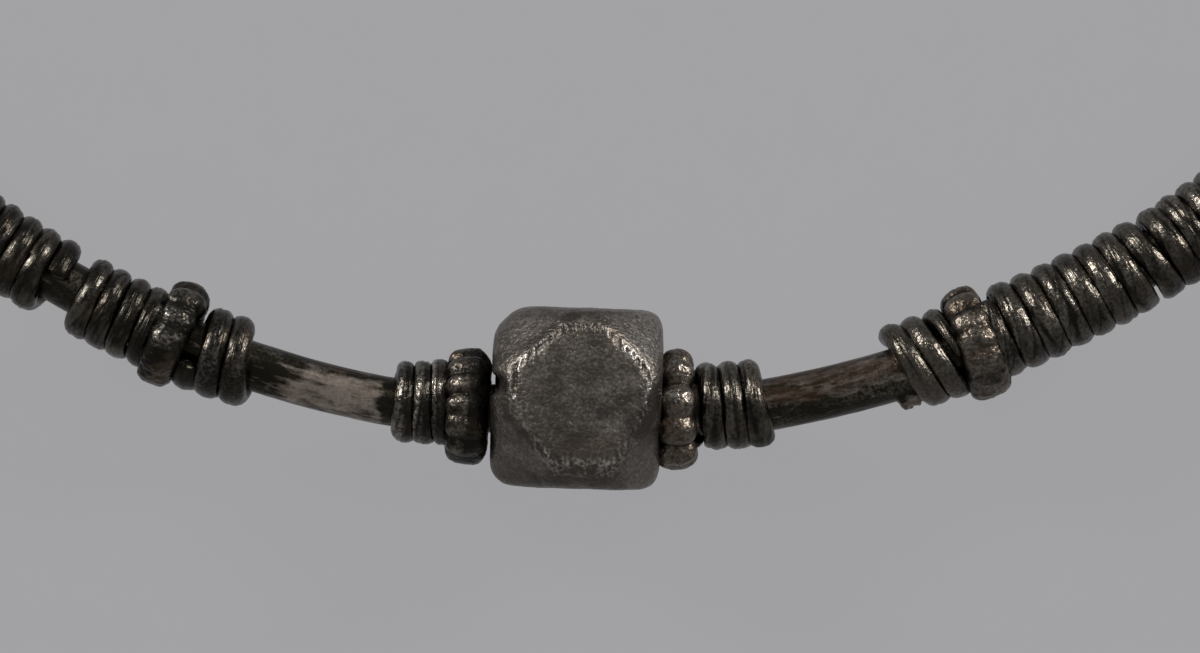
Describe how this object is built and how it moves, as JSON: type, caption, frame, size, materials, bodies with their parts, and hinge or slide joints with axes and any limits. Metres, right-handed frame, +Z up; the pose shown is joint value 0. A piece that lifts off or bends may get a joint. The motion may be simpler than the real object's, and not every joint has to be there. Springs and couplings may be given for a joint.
{
  "type": "wire hoop earring",
  "caption": "Large silver wire hoop earring with a faceted bead between beaded rings and tight wire windings, closed by a hook and eye.",
  "frame": {"origin": "middle of the outline, on the surface that the earring lies on", "axes": "+Z up out of the surface, -Y towards the faceted bead, +Y towards the closure, +X to the right seen from above with the bead nearest"},
  "size_m": [0.0652, 0.0675, 0.0053],
  "materials": {
    "hoop_silver": "drawn silver wire, tarnished brown and black, rubbed pinkish grey where it is bare",
    "bead_silver": "cast silver, tarnished grey-brown, its edges worn bright",
    "ring_silver": "beaded silver, blackened, the tops of its beads worn and pitted",
    "winding_silver": "fine silver wire, blackened, glossy where the turns are rubbed"
  },
  "bodies": {
    "root": {"hoop_wire": "hoop_silver", "faceted_bead": "bead_silver", "inner_beaded_ring_left": "ring_silver", "inner_beaded_ring_right": "ring_silver", "outer_beaded_ring_left": "ring_silver", "outer_beaded_ring_right": "ring_silver", "inner_winding_left": "winding_silver", "inner_winding_right": "winding_silver", "middle_winding_left": "winding_silver", "middle_winding_right": "winding_silver", "short_winding_left": "winding_silver", "long_winding_left": "winding_silver", "long_winding_right": "winding_silver"}
  },
  "joints": []
}
